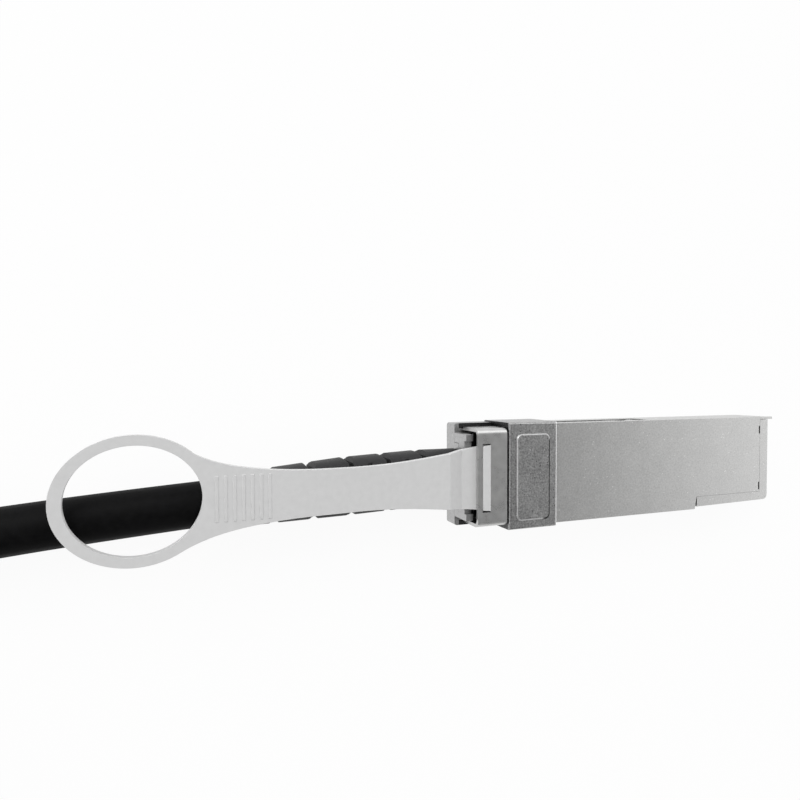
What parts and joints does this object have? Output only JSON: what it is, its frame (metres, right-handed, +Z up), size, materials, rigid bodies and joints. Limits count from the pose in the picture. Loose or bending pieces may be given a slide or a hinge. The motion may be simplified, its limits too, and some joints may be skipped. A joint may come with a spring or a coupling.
{
  "type": "direct attach copper cable",
  "caption": "Copper network cable with a flat metal plug at each end, sprung pull-tab latches, segmented strain reliefs and a round black cable in a tied coil.",
  "frame": {"origin": "on the near plug's resting face, at the middle of the collar's stop plane", "axes": "+X towards the near plug's contacts, +Y across its wide face, +Z up from the surface it lies on"},
  "size_m": [0.2441, 0.104, 0.0164],
  "materials": {
    "die_cast_shell": "satin nickel over a die casting, with a fine sparkle",
    "latch_steel": "smooth satin stainless sheet",
    "tab_plastic": "matt light grey flexible moulding",
    "boot_rubber": "matt black soft moulding",
    "cable_jacket": "black jacket with a faint sheen",
    "strap_fabric": "black hook-and-loop strap",
    "circuit_board": "green solder mask",
    "gold_contacts": "gold plating",
    "chip_resin": "black moulding compound",
    "capacitor_ceramic": "tan ceramic",
    "pair_foil": "wrapped foil shield",
    "clamp_resin": "black moulded block",
    "ferrule_copper": "plain copper sleeve",
    "screw_steel": "zinc plated",
    "spring_steel": "drawn spring wire"
  },
  "bodies": {
    "cable_assembly": {"near_base_shell": "die_cast_shell", "near_cover_shell": "die_cast_shell", "near_paddle_card": "circuit_board", "near_contact_pads": "gold_contacts", "near_memory_chip": "chip_resin", "near_capacitors": "capacitor_ceramic", "near_upper_pairs": "pair_foil", "near_lower_pairs": "pair_foil", "near_wire_clamp": "clamp_resin", "near_crimp_ferrule": "ferrule_copper", "near_cover_screws": "screw_steel", "near_spring_left": "spring_steel", "near_spring_right": "spring_steel", "near_strain_relief": "boot_rubber", "far_base_shell": "die_cast_shell", "far_cover_shell": "die_cast_shell", "far_paddle_card": "circuit_board", "far_contact_pads": "gold_contacts", "far_memory_chip": "chip_resin", "far_capacitors": "capacitor_ceramic", "far_upper_pairs": "pair_foil", "far_lower_pairs": "pair_foil", "far_wire_clamp": "clamp_resin", "far_crimp_ferrule": "ferrule_copper", "far_cover_screws": "screw_steel", "far_spring_left": "spring_steel", "far_spring_right": "spring_steel", "far_strain_relief": "boot_rubber", "near_cable": "cable_jacket", "cable_coil": "cable_jacket", "coil_strap": "strap_fabric", "far_cable": "cable_jacket"},
    "near_latch": {"near_latch_slider": "latch_steel", "near_pull_tab": "tab_plastic"},
    "far_latch": {"far_latch_slider": "latch_steel", "far_pull_tab": "tab_plastic"}
  },
  "joints": [
    {"name": "near_latch_pull", "type": "slide", "parent": "cable_assembly", "child": "near_latch", "axis": [-1, 0, 0], "range_m": [0, 0.003], "stiffness_N_per_m": 600, "deforming": ["near_spring_left", "near_spring_right"]},
    {"name": "far_latch_pull", "type": "slide", "parent": "cable_assembly", "child": "far_latch", "axis": [-1, 0, 0], "range_m": [0, 0.003], "stiffness_N_per_m": 600, "deforming": ["far_spring_left", "far_spring_right"]}
  ]
}
